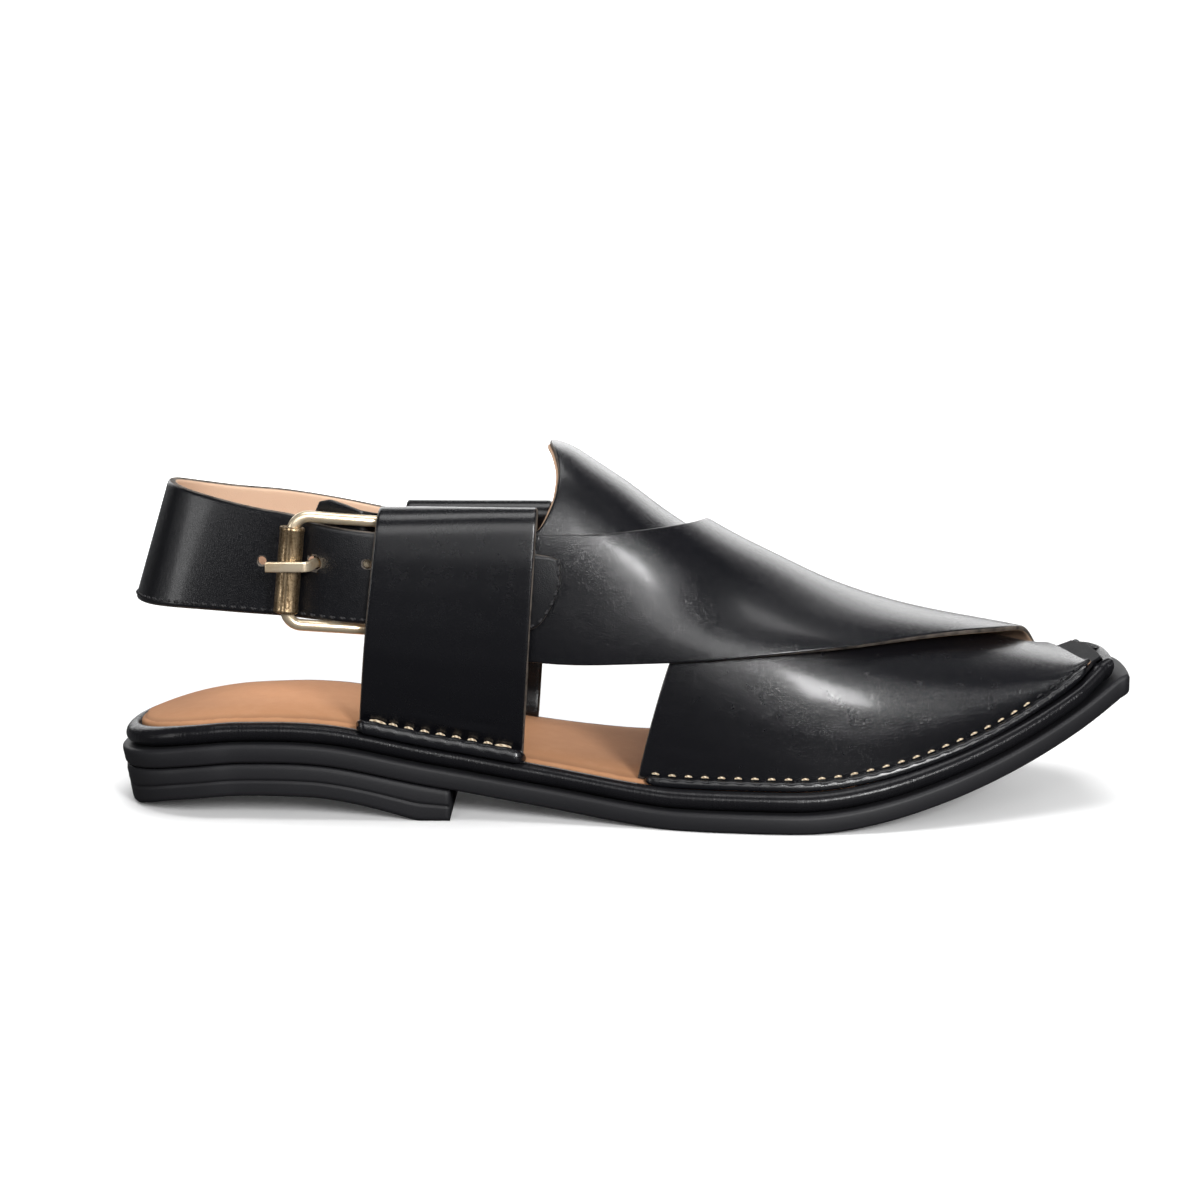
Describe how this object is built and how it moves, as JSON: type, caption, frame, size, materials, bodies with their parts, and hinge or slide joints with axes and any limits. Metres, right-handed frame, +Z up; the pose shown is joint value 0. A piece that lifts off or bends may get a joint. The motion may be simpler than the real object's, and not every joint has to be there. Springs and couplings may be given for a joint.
{
  "type": "peshawari chappal",
  "caption": "Leather sandal with straps crossed over the instep, side loops, a buckled heel strap and a rubber sole turned up at the toe.",
  "frame": {"origin": "on the floor, under the middle of the outsole's length and width", "axes": "+X towards the toe, +Z up, -Y towards the outer (lateral, buckle) side of the foot"},
  "size_m": [0.304, 0.0978, 0.1082],
  "materials": {
    "outsole": "matte charcoal rubber with a bevelled edge",
    "heel": "matte charcoal rubber",
    "rim": "black leather rolled over the board's edge",
    "insole": "tan leather, satin",
    "upper": "polished smooth black leather, tan lined",
    "loops": "polished smooth black leather",
    "strap": "polished smooth black leather, tan lined",
    "buckle": "polished pale gold plate",
    "roller": "antique brass, ribbed"
  },
  "bodies": {
    "root": {"outsole": "outsole", "heel_block": "heel", "footbed_rim": "rim", "insole": "insole", "upper": "upper", "lateral_loop": "loops", "medial_loop": "loops", "heel_strap": "strap", "buckle_chape": "strap", "buckle_frame": "buckle", "buckle_roller": "roller", "buckle_prong": "buckle"}
  },
  "joints": []
}
